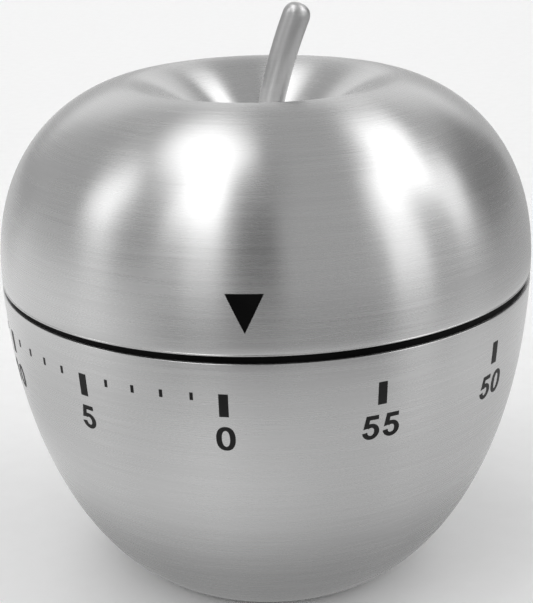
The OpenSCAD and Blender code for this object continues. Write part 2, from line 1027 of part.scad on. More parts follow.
module hairspring() {
    color(blued)
        translate([balance_p[0], balance_p[1], hairspring_z])
            spiral(1.14, hairspring_r - 0.02, 4, 0.12, 0.5, 0);
}

module hairspring_stud() {
    p = along(balance_p, hairspring_r + 0.45, 0);
    color(brass)
        translate([p[0], p[1], low_plate_z])
            cylinder(r = 0.4, h = hairspring_z + 0.7 - low_plate_z);
}

module star_pinion() {
    color(steel)
        pinion_arbor(star_p, great_z - 0.2, great_t + 0.4, great_module,
            star_pinion_phase);
}

module star_wheel() {
    n = star_points;
    root = 3.2;
    color(steel)
        translate([star_p[0], star_p[1], escape_wheel_z - 0.2])
            linear_extrude(height = wheel_t)
                difference() {
                    polygon([for (i = [0:n - 1]) let (c = 360 * i / n) each [
                        [root * cos(c - 15), root * sin(c - 15)],
                        [star_r * cos(c - 1.5), star_r * sin(c - 1.5)],
                        [star_r * cos(c + 1.5), star_r * sin(c + 1.5)]
                    ]]);
                    circle(r = arbor_r + 0.01);
                }
}

module hammer_arbor() {
    color(steel)
        translate([hammer_p[0], hammer_p[1], 0]) {
            translate([0, 0, 13.4])
                cylinder(r = arbor_r, h = top_plate_z - plate_clear - 13.4);
            translate([0, 0, top_plate_z - 1])
                cylinder(r = pivot_r, h = plate_t + 1 - plate_clear);
        }
}

// Flat lever pressed on the hammer's arbor
module hammer_lever(z, t, heading, length, w) {
    translate([hammer_p[0], hammer_p[1], z])
        rotate([0, 0, heading])
            linear_extrude(height = t)
                difference() {
                    union() {
                        circle(r = 1.3);
                        translate([0, -w / 2])
                            square([length - w / 2, w]);
                        translate([length - w / 2, 0])
                            circle(r = w / 2);
                    }
                    circle(r = arbor_r + 0.01);
                }
}

module hammer_finger() {
    color(steel)
        hammer_lever(escape_wheel_z - 0.2, wheel_t, finger_heading, finger_l, 0.7);
}

module hammer_tail() {
    color(steel)
        hammer_lever(cam_z + 0.02, cam_t - 0.1, tail_heading, tail_l, 0.9);
}

head_d = head_p - hammer_p;
arm_l = norm(head_d);
arm_heading = atan2(head_d[1], head_d[0]);

module hammer_arm() {
    color(steel)
        difference() {
            hammer_lever(13.65, 0.8, arm_heading, arm_l + 0.6, 1.2);
            translate([head_p[0], head_p[1], 10])
                cylinder(r = 0.51, h = 10);
        }
}

module hammer_head() {
    color(brass)
        translate([head_p[0], head_p[1], 0]) {
            translate([0, 0, 9.8])
                cylinder(r = head_r, h = 3.4);
            translate([0, 0, 12])
                cylinder(r = 0.5, h = 2.6);
        }
}

// ---- bell ----

module bell() {
    o = [[bell_r, bell_rim_z], [bell_r, 9.4], [16.6, 8.2], [15.5, 7.1], [13.8, 6.3],
        [11, 5.6], [7, bell_crown_z]];
    i = [[7, bell_crown_z + bell_wall], [10.9, 6.4], [13.5, 7.1], [15, 7.8],
        [15.9, 8.6], [bell_r - bell_wall, 9.6], [bell_r - bell_wall, bell_rim_z]];
    color(polished)
        rotate_extrude()
            polygon(concat(o, [[1.4, bell_crown_z], [1.4, bell_crown_z + bell_wall]], i));
}

module bell_stud() {
    z0 = bell_crown_z + bell_wall + 0.4;
    color(brass)
        translate([0, 0, z0])
            difference() {
                cylinder(r = 2.4, h = low_plate_z - z0);
                translate([0, 0, -1])
                    cylinder(r = 1.27, h = 5);
            }
}

module bell_washer() {
    color(steel)
        translate([0, 0, bell_crown_z + bell_wall])
            difference() {
                cylinder(r = 3.2, h = 0.4);
                translate([0, 0, -1])
                    cylinder(r = 1.4, h = 3);
            }
}

module bell_screw() {
    color(steel)
        difference() {
            union() {
                translate([0, 0, bell_crown_z - 1.5])
                    cylinder(r = 2.6, h = 1.5);
                translate([0, 0, bell_crown_z - 0.5])
                    cylinder(r = 1.25, h = 4.5);
            }
            translate([-4, -0.35, bell_crown_z - 2.5])
                cube([8, 0.7, 1.7]);
        }
}

lower_shell();
base_pad();
scale_print();
upper_shell();
pointer_print();
stem();
stem_washer();
stem_nut();
dial_hub();
movement_carrier();
mounting_screws();
bottom_plate();
top_plate();
frame_pillars();
pillar_nuts();
spring_drum();
drum_screws();
mainspring();
main_arbor();
stop_cam();
stop_pin();
ratchet_wheel();
great_wheel();
click();
click_spring();
second_pinion();
second_wheel();
third_pinion();
third_wheel();
escape_pinion();
escape_wheel();
balance_staff();
balance_ring();
pallet_lever();
hairspring();
hairspring_stud();
star_pinion();
star_wheel();
hammer_arbor();
hammer_finger();
hammer_tail();
hammer_arm();
hammer_head();
bell();
bell_stud();
bell_washer();
bell_screw();
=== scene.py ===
"""Looks of the kitchen timer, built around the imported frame. Metres, +Z up, zero mark facing -Y."""

import json
import math

import bmesh
import bpy
import numpy as np
from mathutils import Matrix, Vector
from mathutils.geometry import delaunay_2d_cdt


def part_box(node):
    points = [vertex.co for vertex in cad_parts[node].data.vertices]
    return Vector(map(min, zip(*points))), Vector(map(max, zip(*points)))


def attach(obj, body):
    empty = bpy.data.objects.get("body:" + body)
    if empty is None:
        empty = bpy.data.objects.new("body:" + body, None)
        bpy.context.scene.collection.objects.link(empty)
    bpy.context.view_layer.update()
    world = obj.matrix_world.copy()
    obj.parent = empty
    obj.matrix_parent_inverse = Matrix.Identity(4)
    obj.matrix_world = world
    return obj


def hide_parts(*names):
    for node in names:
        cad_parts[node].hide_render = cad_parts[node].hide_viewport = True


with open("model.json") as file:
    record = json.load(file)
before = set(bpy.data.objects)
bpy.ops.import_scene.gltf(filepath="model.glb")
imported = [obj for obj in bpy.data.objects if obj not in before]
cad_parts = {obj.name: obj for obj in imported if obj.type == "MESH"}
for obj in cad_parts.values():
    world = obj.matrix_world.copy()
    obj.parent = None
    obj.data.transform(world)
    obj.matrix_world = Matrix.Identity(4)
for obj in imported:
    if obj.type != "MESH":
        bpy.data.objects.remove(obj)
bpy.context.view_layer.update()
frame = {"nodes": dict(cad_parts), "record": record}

MM = 0.001

# ---- sizes: the outer ones from the frame, the others as the design has them ----

upper_lo, upper_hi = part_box("upper_shell")

BODY_R = upper_hi.x
LOWER_RIM_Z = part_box("lower_shell")[1].z
UPPER_RIM_Z = upper_lo.z
CREST_Z = upper_hi.z
OVERALL_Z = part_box("stem")[1].z
EQUATOR_RISE = 0.536 * MM
EQUATOR_Z = UPPER_RIM_Z + EQUATOR_RISE
WALL = 0.5 * MM
BASE_R = 15.73 * MM
CREST_R = 14.786 * MM
DIMPLE_R = 2.0 * MM
DIMPLE_Z = 48.0 * MM
RECESS_R = 10.8 * MM
RECESS_DEPTH = 1.2 * MM
RECESS_CHAMFER = 0.3 * MM

# Corner points of the profile's cubic curves, as radius and height
LOWER_CURVE = [
    (BASE_R, 0.0), (BASE_R + 5.43 * MM, 2.465 * MM),
    (BODY_R, EQUATOR_Z - 22.0 * MM), (BODY_R, EQUATOR_Z),
]
UPPER_CURVE = [
    (BODY_R, EQUATOR_Z), (BODY_R, EQUATOR_Z + 16.267 * MM),
    (CREST_R + 3.0 * MM, CREST_Z), (CREST_R, CREST_Z),
]
DIMPLE_CURVE = [
    (CREST_R, CREST_Z), (CREST_R - 4.556 * MM, CREST_Z),
    (DIMPLE_R + 0.589 * MM, DIMPLE_Z + 1.02 * MM), (DIMPLE_R, DIMPLE_Z),
]

# ---- camera ----

CAMERA_AZIMUTH = math.radians(8.438)
CAMERA_DISTANCE = 137.33 * MM
CAMERA_HEIGHT = 81.114 * MM
CAMERA_PITCH = math.radians(-20.211)
CAMERA_PAN = math.radians(0.027)
CAMERA_ROLL = math.radians(1.373)
CAMERA_LENS = 74.50


def make_camera():
    data = bpy.data.cameras.new("camera")
    data.lens = CAMERA_LENS
    data.sensor_width = 36.0
    data.clip_start = 0.01
    data.clip_end = 20.0
    camera = bpy.data.objects.new("camera", data)
    bpy.context.scene.collection.objects.link(camera)
    place = Vector((CAMERA_DISTANCE * math.sin(CAMERA_AZIMUTH),
                    -CAMERA_DISTANCE * math.cos(CAMERA_AZIMUTH), CAMERA_HEIGHT))
    turn = (
        Matrix.Rotation(CAMERA_AZIMUTH + CAMERA_PAN, 4, "Z")
        @ Matrix.Rotation(math.pi / 2 + CAMERA_PITCH, 4, "X")
        @ Matrix.Rotation(-CAMERA_ROLL, 4, "Z")
    )
    camera.matrix_world = Matrix.Translation(place) @ turn
    bpy.context.scene.camera = camera


make_camera()

# ---- curves ----


def bezier(points, t):
    a, b, c, d = (np.array(p, float) for p in points)
    return (1 - t) ** 3 * a + 3 * (1 - t) ** 2 * t * b + 3 * (1 - t) * t * t * c + t ** 3 * d


def tangent(points, t):
    a, b, c, d = (np.array(p, float) for p in points)
    v = 3 * (1 - t) ** 2 * (b - a) + 6 * (1 - t) * t * (c - b) + 3 * t * t * (d - c)
    return v / np.hypot(*v)


def inward(points, t, distance):
    """A point of the curve moved into the sheet by distance."""
    v = tangent(points, t)
    return bezier(points, t) + distance * np.array([-v[1], v[0]])


def at_height(points, z):
    """The curve's parameter at height z."""
    low, high = 0.0, 1.0
    for _ in range(40):
        middle = (low + high) / 2
        if bezier(points, middle)[1] < z:
            low = middle
        else:
            high = middle
    return (low + high) / 2


def surface_r(z):
    """Radius of the body's outer face at height z."""
    curve = LOWER_CURVE if z < EQUATOR_Z else UPPER_CURVE
    return float(bezier(curve, at_height(curve, z))[0])


def arc(centre, r, a0, a1, n):
    angles = [math.radians(a0 + (a1 - a0) * i / n) for i in range(n + 1)]
    return [np.array([centre[0] + r * math.cos(a), centre[1] + r * math.sin(a)]) for a in angles]


# ---- mesh helpers ----


def link(name, mesh):
    piece = bpy.data.objects.new(name, mesh)
    bpy.context.scene.collection.objects.link(piece)
    return piece


def smooth(mesh, angle=35):
    mesh.polygons.foreach_set("use_smooth", [True] * len(mesh.polygons))
    mesh.update()
    mesh.set_sharp_from_angle(angle=math.radians(angle))


def lathe(name, profile, segments=320, closed=True):
    """Turns a profile of (radius, height) points around Z. Points on the axis become single vertices."""
    profile = [np.array(p, float) for p in profile]
    lengths = [0.0]
    for p, q in zip(profile, profile[1:]):
        lengths.append(lengths[-1] + float(np.hypot(*(q - p))))
    vertices, rings, along = [], [], []
    for p, s in zip(profile, lengths):
        start = len(vertices)
        if p[0] < 1e-7:
            vertices.append((0.0, 0.0, p[1]))
            rings.append([start] * segments)
            along.append(s)
            continue
        for k in range(segments):
            a = 2 * math.pi * k / segments
            vertices.append((p[0] * math.cos(a), p[0] * math.sin(a), p[1]))
            along.append(s)
        rings.append([start + k for k in range(segments)])
    faces = []
    pairs = list(zip(rings, rings[1:]))
    if closed:
        pairs.append((rings[-1], rings[0]))
    for low, high in pairs:
        for k in range(segments):
            n = (k + 1) % segments
            corners = [low[k], low[n], high[n], high[k]]
            unique = list(dict.fromkeys(corners))
            if len(unique) >= 3:
                faces.append(unique)
    mesh = bpy.data.meshes.new(name)
    mesh.from_pydata(vertices, [], faces)
    attribute = mesh.attributes.new("along", "FLOAT", "POINT")
    attribute.data.foreach_set("value", along)
    smooth(mesh)
    return link(name, mesh)


# ---- shells ----

# The upper rim is not quite square: at -X its outer edge hangs lower, outside the seam ring. The
# drop fades out over RIM_DROP_SPAN above the rim.
RIM_DROP = 0.36 * MM
RIM_DROP_SPAN = 0.9 * MM
RING_R = 29.7 * MM

# The lower rim is rounded, and the upper rim ends in a fine bead under a shallow neck
RIM_R = 0.07 * MM
BEAD_R = 0.1 * MM
BEAD_INSET = 0.005 * MM
NECK_DEPTH = 0.035 * MM
NECK_RISE = 2.4 * BEAD_R
LOWER_LIP = 0.95 * MM
UPPER_LIP = 1.1 * MM
STEM_HOLE_R = 1.05 * MM

# Steps of a lathe profile along the body's outer faces, the dimple and the inner faces
OUTER_STEPS = 90
DIMPLE_STEPS = 60
INNER_STEPS = 40


def lower_shell():
    end = at_height(LOWER_CURVE, LOWER_RIM_Z - RIM_R)
    outer = [inward(LOWER_CURVE, end * i / OUTER_STEPS, 0) for i in range(OUTER_STEPS + 1)]
    top = outer[-1]
    roll = arc((top[0] - RIM_R, LOWER_RIM_Z - RIM_R), RIM_R, 12, 90, 8)
    inner_start = 0.02
    inner_length = end - 0.03
    inner = [inward(LOWER_CURVE, inner_start + inner_length * i / INNER_STEPS, WALL)
             for i in range(INNER_STEPS + 1)]
    base_edge = arc((RECESS_R + RECESS_CHAMFER, RECESS_CHAMFER), RECESS_CHAMFER, 180, 270, 6)
    profile = (
        [np.array([0, RECESS_DEPTH]), np.array([RECESS_R - RECESS_CHAMFER, RECESS_DEPTH]),
         np.array([RECESS_R, RECESS_DEPTH - RECESS_CHAMFER])]
        + base_edge
        + outer
        + roll
        + [np.array([top[0] - LOWER_LIP, LOWER_RIM_Z]),
           np.array([top[0] - LOWER_LIP, LOWER_RIM_Z - WALL])]
        + inner[::-1]
        + [np.array([RECESS_R + WALL, WALL]), np.array([RECESS_R + WALL, RECESS_DEPTH + WALL]),
           np.array([0, RECESS_DEPTH + WALL])]
    )
    return lathe("lower_steel_shell", profile, closed=False)


def upper_shell():
    bead = arc((BODY_R - BEAD_R, UPPER_RIM_Z + BEAD_R), BEAD_R - BEAD_INSET, -90, 55, 12)
    neck = np.array([BODY_R - NECK_DEPTH, UPPER_RIM_Z + NECK_RISE])
    outer = [bezier(UPPER_CURVE, i / OUTER_STEPS) for i in range(OUTER_STEPS + 1)]
    dimple = [bezier(DIMPLE_CURVE, i / DIMPLE_STEPS) for i in range(1, DIMPLE_STEPS + 1)]
    inner_dimple = [inward(DIMPLE_CURVE, i / INNER_STEPS, WALL) for i in range(1, INNER_STEPS + 1)]
    inner = [inward(UPPER_CURVE, i / INNER_STEPS, WALL) for i in range(INNER_STEPS + 1)]
    profile = (
        [np.array([BODY_R - UPPER_LIP, UPPER_RIM_Z])]
        + bead
        + [neck]
        + outer
        + dimple
        + [np.array([STEM_HOLE_R, DIMPLE_Z]), np.array([STEM_HOLE_R, DIMPLE_Z - WALL]),
           np.array([DIMPLE_R, DIMPLE_Z - WALL])]
        + inner_dimple[::-1]
        + inner[::-1]
        + [np.array([BODY_R - WALL, UPPER_RIM_Z + WALL]),
           np.array([BODY_R - UPPER_LIP, UPPER_RIM_Z + WALL])]
    )
    shell = lathe("upper_steel_shell", profile)
    for v in shell.data.vertices:
        r = math.hypot(v.co.x, v.co.y)
        if v.co.z < UPPER_RIM_Z + RIM_DROP_SPAN and r > RING_R:
            share = 1 - max(0.0, v.co.z - UPPER_RIM_Z) / RIM_DROP_SPAN
            v.co.z -= share * RIM_DROP * ((1 - v.co.x / r) / 2) ** 2
    return shell


# ---- stem ----

STEM_HEADING = math.radians(8.44)
STEM_BEND_R = 60 * MM
STEM_LEAN = math.radians(6.5)
STEM_FOOT_R = 1.35 * MM
STEM_TIP_R = 1.52 * MM
STEM_STUD = 3.4 * MM
STEM_SIDES = 64
STEM_STEPS = 60
TIP_STEPS = 15
TIP_SQUARENESS = 0.86
TIP_HEIGHT = 0.96 * STEM_TIP_R

# The stud and the foot collar, as distance along the rod from the dimple and radius
STEM_FOOT_RINGS = [
    (-STEM_STUD, 0.9 * MM), (-STEM_STUD + 0.15 * MM, 1.0 * MM), (-0.001 * MM, 1.0 * MM),
    (0.0, 1.68 * MM), (0.06 * MM, 1.75 * MM), (0.35 * MM, 1.7 * MM), (0.5 * MM, 1.5 * MM),
    (0.62 * MM, STEM_FOOT_R + 0.04 * MM),
]


def on_stem(s, length):
    """Centre and tilt of the rod at distance s: upright below the dimple, then one arc of the given
    length, then straight on."""
    if s <= 0:
        return Vector((0, 0, DIMPLE_Z + s)), 0.0
    bent = min(s, length)
    tilt = STEM_LEAN + bent / STEM_BEND_R
    over = s - bent
    centre = Vector((
        STEM_BEND_R * (math.cos(STEM_LEAN) - math.cos(tilt)) + over * math.sin(tilt), 0,
        DIMPLE_Z + STEM_BEND_R * (math.sin(tilt) - math.sin(STEM_LEAN)) + over * math.cos(tilt)))
    return centre, tilt


def stem():
    """The bent rod: a stud below the dimple, a small foot collar, a slow taper and a domed tip."""
    rise = OVERALL_Z - STEM_TIP_R - DIMPLE_Z
    length = STEM_BEND_R * (math.asin(math.sin(STEM_LEAN) + rise / STEM_BEND_R) - STEM_LEAN)
    rings = list(STEM_FOOT_RINGS)
    for i in range(1, STEM_STEPS + 1):
        u = i / STEM_STEPS
        rings.append((length * u, STEM_FOOT_R + (STEM_TIP_R - STEM_FOOT_R) * u ** 0.7))
    for i in range(1, TIP_STEPS):
        a = math.radians(90 * i / TIP_STEPS)
        rings.append((length + TIP_HEIGHT * math.sin(a) ** TIP_SQUARENESS,
                      STEM_TIP_R * math.cos(a) ** TIP_SQUARENESS))
    sides = STEM_SIDES
    vertices = []
    for s, r in rings:
        centre, tilt = on_stem(s, length)
        for k in range(sides):
            a = 2 * math.pi * k / sides
            vertices.append(centre + Vector((r * math.cos(a) * math.cos(tilt), r * math.sin(a),
                                             -r * math.cos(a) * math.sin(tilt))))
    n = len(rings)
    vertices.append(on_stem(-STEM_STUD, length)[0])
    vertices.append(on_stem(length + TIP_HEIGHT, length)[0])
    faces = []
    for i in range(n - 1):
        for k in range(sides):
            m = (k + 1) % sides
            faces.append((i * sides + k, i * sides + m, (i + 1) * sides + m, (i + 1) * sides + k))
    for k in range(sides):
        m = (k + 1) % sides
        faces.append((n * sides, m, k))
        faces.append((n * sides + 1, (n - 1) * sides + k, (n - 1) * sides + m))
    mesh = bpy.data.meshes.new("bent_stem")
    mesh.from_pydata(vertices, [], faces)
    mesh.transform(Matrix.Rotation(STEM_HEADING, 4, "Z"))
    smooth(mesh, 40)
    return link("bent_stem", mesh)


# ---- printed scale and pointer ----

INK_PROUD = 0.02 * MM
INK_SUNK = 0.03 * MM
FILL_STEP = 0.3 * MM
OUTLINE_STEP = 0.25 * MM
DEGREES_PER_MINUTE = 6
LONG_MARK = (29.72 * MM, 32.16 * MM)
LONG_MARK_W = 0.94 * MM
SHORT_MARK = (31.4 * MM, 32.2 * MM)
SHORT_MARK_W = 0.34 * MM
SHORT_MARK_SPAN = 15
DIGIT_Z = 25.95 * MM
DIGIT_H = 2.64 * MM
DIGIT_W = 1.95 * MM
DIGIT_PITCH = 2.2 * MM
DIGIT_SHIFT = 0.05 * MM
SCALE_SLOPE = math.radians(0.6)
POINTER_TOP = 42.16 * MM
POINTER_TIP = 38.4 * MM
POINTER_ANGLE = math.radians(7.1)
REST_MINUTES = 0.725
REST_ANGLE = math.radians(DEGREES_PER_MINUTE * REST_MINUTES)


def oval(cx, cy, rx, ry, power=2.3, n=48):
    """A superellipse, rounder than a rectangle and fuller than an ellipse."""
    points = []
    for i in range(n):
        a = 2 * math.pi * i / n
        c, d = math.cos(a), math.sin(a)
        points.append((cx + rx * math.copysign(abs(c) ** (2 / power), c),
                       cy + ry * math.copysign(abs(d) ** (2 / power), d)))
    return points


def sweep(cx, cy, rx, ry, a0, a1, w0, w1, n=30):
    """A curved stroke along part of an ellipse. w0 and w1 are its widths at the sides and at the
    top and bottom of the ellipse. Angles are in degrees, anticlockwise from the right."""
    outer, inner = [], []
    for i in range(n + 1):
        a = math.radians(a0 + (a1 - a0) * i / n)
        w = w0 + (w1 - w0) * math.sin(a) ** 2
        outer.append((cx + rx * math.cos(a), cy + ry * math.sin(a)))
        inner.append((cx + (rx - w) * math.cos(a), cy + (ry - w) * math.sin(a)))
    return outer + inner[::-1]


def bar(x0, y0, x1, y1):
    return [(x0, y0), (x1, y0), (x1, y1), (x0, y1)]


# Each digit is a list of shapes in a box DRAWN_W wide and DRAWN_H high. A shape is an outline and
# its holes.
DRAWN_W = 1.95
DRAWN_H = 2.69
DIGITS = {
    0: [[oval(0.975, 1.345, 0.955, 1.365), oval(0.975, 1.345, 0.40, 0.93, 2.2)]],
    1: [[bar(0.86, 0, 1.42, 2.69)], [[(0.3, 1.72), (0.9, 1.72), (0.9, 2.69), (0.78, 2.4), (0.3, 2.14)]]],
    2: [[sweep(0.97, 1.84, 0.89, 0.87, -38, 180, 0.54, 0.46)],
        [[(0.08, 0.0), (0.78, 0.43), (1.68, 1.32), (1.26, 1.66), (0.32, 0.74), (0.1, 0.4)]],
        [bar(0.08, 0, 1.85, 0.46)]],
    3: [[sweep(0.93, 1.93, 0.82, 0.78, -75, 175, 0.5, 0.44)],
        [sweep(0.93, 0.82, 0.9, 0.84, -178, 82, 0.54, 0.45)],
        [bar(0.72, 1.2, 1.1, 1.58)]],
    4: [[[(1.08, 0), (1.6, 0), (1.6, 0.6), (1.9, 0.6), (1.9, 1.03), (1.6, 1.03), (1.6, 2.69),
          (1.06, 2.69), (0.08, 1.08), (0.08, 0.6), (1.08, 0.6)],
         [(0.52, 1.03), (1.08, 1.03), (1.08, 1.95)]]],
    5: [[[(0.42, 2.69), (1.74, 2.69), (1.74, 2.22), (0.81, 2.22), (0.69, 1.5), (0.62, 1.3),
          (0.15, 1.22)]],
        [sweep(0.96, 0.87, 0.91, 0.92, -172, 128, 0.55, 0.45)]],
}


def inside(loop, x, y):
    odd = False
    for (x0, y0), (x1, y1) in zip(loop, loop[1:] + loop[:1]):
        if (y0 > y) != (y1 > y) and x < x0 + (x1 - x0) * (y - y0) / (y1 - y0):
            odd = not odd
    return odd


def in_shapes(shapes, x, y):
    return any(inside(shape[0], x, y) and not any(inside(hole, x, y) for hole in shape[1:])
               for shape in shapes)


def divided(loop, step):
    """The loop with points added so that no side is longer than step."""
    points = []
    for (x0, y0), (x1, y1) in zip(loop, loop[1:] + loop[:1]):
        parts = max(1, math.ceil(math.hypot(x1 - x0, y1 - y0) / step))
        points += [(x0 + (x1 - x0) * i / parts, y0 + (y1 - y0) * i / parts) for i in range(parts)]
    return points


def ink_film(build, shapes, heading):
    """Adds one printed figure to a mesh: a thin film that follows the body. Shapes are drawn flat,
    x to the right of the heading and y as the height. Heading is the angle around the body."""
    shapes = [[divided(loop, OUTLINE_STEP) for loop in shape] for shape in shapes]
    points, edges = [], []
    for shape in shapes:
        for loop in shape:
            start = len(points)
            points += [Vector(p) for p in loop]
            edges += [(start + i, start + (i + 1) % len(loop)) for i in range(len(loop))]
    low_x, high_x = min(p.x for p in points), max(p.x for p in points)
    low_y, high_y = min(p.y for p in points), max(p.y for p in points)
    for i in range(1, math.ceil((high_x - low_x) / FILL_STEP)):
        for j in range(1, math.ceil((high_y - low_y) / FILL_STEP)):
            x, y = low_x + i * FILL_STEP, low_y + j * FILL_STEP
            if in_shapes(shapes, x, y):
                points.append(Vector((x, y)))
    flat, _, faces, *_ = delaunay_2d_cdt(points, edges, [], 0, 1e-9)
    kept = []
    for face in faces:
        x = sum(flat[i].x for i in face) / 3
        y = sum(flat[i].y for i in face) / 3
        if in_shapes(shapes, x, y):
            kept.append(list(face))
    levels = []
    for painted_shade in (-INK_SUNK, INK_PROUD):
        ring = {}
        for i in sorted({i for face in kept for i in face}):
            r = surface_r(flat[i].y)
            a = heading + flat[i].x / r
            ring[i] = build.verts.new(((r + painted_shade) * math.sin(a), -(r + painted_shade) * math.cos(a), flat[i].y))
        levels.append(ring)
    low, high = levels
    sides = {}
    for face in kept:
        build.faces.new([high[i] for i in face])
        build.faces.new([low[i] for i in reversed(face)])
        for a, b in zip(face, face[1:] + face[:1]):
            sides[(a, b)] = True
    for a, b in sides:
        if (b, a) not in sides:
            build.faces.new((low[a], low[b], high[b], high[a]))


def finish_film(name, build):
    mesh = bpy.data.meshes.new(name)
    build.to_mesh(mesh)
    build.free()
    smooth(mesh, 50)
    return link(name, mesh)


def moved(shapes, x, y, scale_x=1.0, scale_y=1.0):
    return [[[(px * scale_x + x, py * scale_y + y) for px, py in loop] for loop in shape]
            for shape in shapes]


def numeral(minutes):
    digits = [int(c) for c in str(minutes)]
    left = DIGIT_SHIFT - (DIGIT_W + DIGIT_PITCH * (len(digits) - 1)) / 2
    return [shape for i, d in enumerate(digits)
            for shape in moved(DIGITS[d], left + DIGIT_PITCH * i, DIGIT_Z,
                               DIGIT_W / DRAWN_W, DIGIT_H / DRAWN_H)]


def print_at(build, shapes, minutes):
    """Prints a figure at a minute of the scale, raised or lowered by the print's slope."""
    heading = math.radians(-DEGREES_PER_MINUTE * minutes)
    rise = BODY_R * math.sin(heading) * math.tan(SCALE_SLOPE)
    ink_film(build, moved(shapes, 0, rise), heading)


def scale_print():
    build = bmesh.new()
    long_mark = bar(-LONG_MARK_W / 2, LONG_MARK[0], LONG_MARK_W / 2, LONG_MARK[1])
    short_mark = bar(-SHORT_MARK_W / 2, SHORT_MARK[0], SHORT_MARK_W / 2, SHORT_MARK[1])
    for minutes in range(0, 60, 5):
        print_at(build, [[long_mark]], minutes)
        print_at(build, numeral(minutes), minutes)
    for minutes in range(1, SHORT_MARK_SPAN):
        if minutes % 5:
            print_at(build, [[short_mark]], minutes)
    return finish_film("printed_scale", build)


def pointer_print():
    build = bmesh.new()
    half = POINTER_ANGLE / 2 * surface_r(POINTER_TOP)
    ink_film(build, [[[(0, POINTER_TIP), (half, POINTER_TOP), (-half, POINTER_TOP)]]], REST_ANGLE)
    return finish_film("printed_pointer", build)


# ---- materials ----


class Nodes:
    """A few short helpers for building one material's nodes."""

    def __init__(self, name):
        self.material = bpy.data.materials.new(name)
        self.material.use_nodes = True
        self.tree = self.material.node_tree
        self.shader = self.tree.nodes["Principled BSDF"]

    def add(self, kind, **settings):
        node = self.tree.nodes.new(kind)
        for key, value in settings.items():
            setattr(node, key, value)
        return node

    def join(self, source, target):
        self.tree.links.new(source, target)

    def math(self, operation, a, b=None):
        node = self.add("ShaderNodeMath", operation=operation)
        for socket, value in zip(node.inputs, (a, b)):
            if value is None:
                continue
            if isinstance(value, (int, float)):
                socket.default_value = value
            else:
                self.join(value, socket)
        return node.outputs[0]

    def noise(self, vector, scale, detail=2.0, roughness=0.5):
        node = self.add("ShaderNodeTexNoise")
        node.inputs["Scale"].default_value = scale
        node.inputs["Detail"].default_value = detail
        node.inputs["Roughness"].default_value = roughness
        self.join(vector, node.inputs["Vector"])
        return node.outputs["Fac"]

    def spread(self, value, low, high):
        """Stretches a noise, which seldom leaves 0.3 to 0.7, to low and high."""
        node = self.add("ShaderNodeMapRange")
        node.inputs["From Min"].default_value = 0.3
        node.inputs["From Max"].default_value = 0.7
        node.inputs["To Min"].default_value = low
        node.inputs["To Max"].default_value = high
        self.join(value, node.inputs["Value"])
        return node.outputs["Result"]

    def ramp(self, value, dark, light, low=0.3, high=0.7):
        node = self.add("ShaderNodeValToRGB")
        node.color_ramp.elements[0].position = low
        node.color_ramp.elements[0].color = (*dark, 1)
        node.color_ramp.elements[1].position = high
        node.color_ramp.elements[1].color = (*light, 1)
        self.join(value, node.inputs["Fac"])
        return node.outputs["Color"]

    def bump(self, height, strength, distance):
        node = self.add("ShaderNodeBump")
        node.inputs["Strength"].default_value = strength
        node.inputs["Distance"].default_value = distance
        self.join(height, node.inputs["Height"])
        return node.outputs["Normal"]

    def set(self, **values):
        for key, value in values.items():
            name = key.replace("_", " ")
            self.shader.inputs[name].default_value = value

    def object_point(self):
        return self.add("ShaderNodeTexCoord").outputs["Object"]


def grey(value):
    return value, value, value


def around_axis(n, around, along_scale):
    """Texture coordinates that change slowly around Z and quickly along the profile."""
    point = n.object_point()
    split = n.add("ShaderNodeSeparateXYZ")
    n.join(point, split.inputs[0])
    flat = n.add("ShaderNodeCombineXYZ")
    n.join(split.outputs["X"], flat.inputs["X"])
    n.join(split.outputs["Y"], flat.inputs["Y"])
    unit = n.add("ShaderNodeVectorMath", operation="NORMALIZE")
    n.join(flat.outputs[0], unit.inputs[0])
    scaled = n.add("ShaderNodeVectorMath", operation="SCALE")
    scaled.inputs["Scale"].default_value = around
    n.join(unit.outputs[0], scaled.inputs[0])
    parts = n.add("ShaderNodeSeparateXYZ")
    n.join(scaled.outputs[0], parts.inputs[0])
    distance = n.add("ShaderNodeAttribute", attribute_name="along").outputs["Fac"]
    out = n.add("ShaderNodeCombineXYZ")
    n.join(parts.outputs["X"], out.inputs["X"])
    n.join(parts.outputs["Y"], out.inputs["Y"])
    n.join(n.math("MULTIPLY", distance, along_scale), out.inputs["Z"])
    return out.outputs[0]


def brushed_shell(name):
    """Sheet steel brushed around the body: fine scratches that run along circles of latitude."""
    n = Nodes(name)
    n.set(Metallic=1.0, Roughness=0.27, Anisotropic=0.94, Anisotropic_Rotation=0.25)
    axis = n.add("ShaderNodeTangent", direction_type="RADIAL", axis="Z")
    n.join(axis.outputs[0], n.shader.inputs["Tangent"])
    hair = n.noise(around_axis(n, 4.0, 11000.0), 1.0, 2.0, 0.5)
    streak = n.noise(around_axis(n, 1.6, 2600.0), 1.0, 2.0, 0.5)
    cloud = n.noise(n.object_point(), 120.0, 3.0, 0.5)
    mixed = n.math("ADD", n.math("MULTIPLY", hair, 0.5), n.math("MULTIPLY", streak, 0.5))
    n.join(n.ramp(mixed, grey(0.565), grey(0.63)), n.shader.inputs["Base Color"])
    rough = n.math("ADD", n.spread(mixed, 0.25, 0.29), n.spread(cloud, -0.01, 0.01))
    n.join(rough, n.shader.inputs["Roughness"])
    n.join(n.bump(hair, 0.05, 0.00001), n.shader.inputs["Normal"])
    return n.material


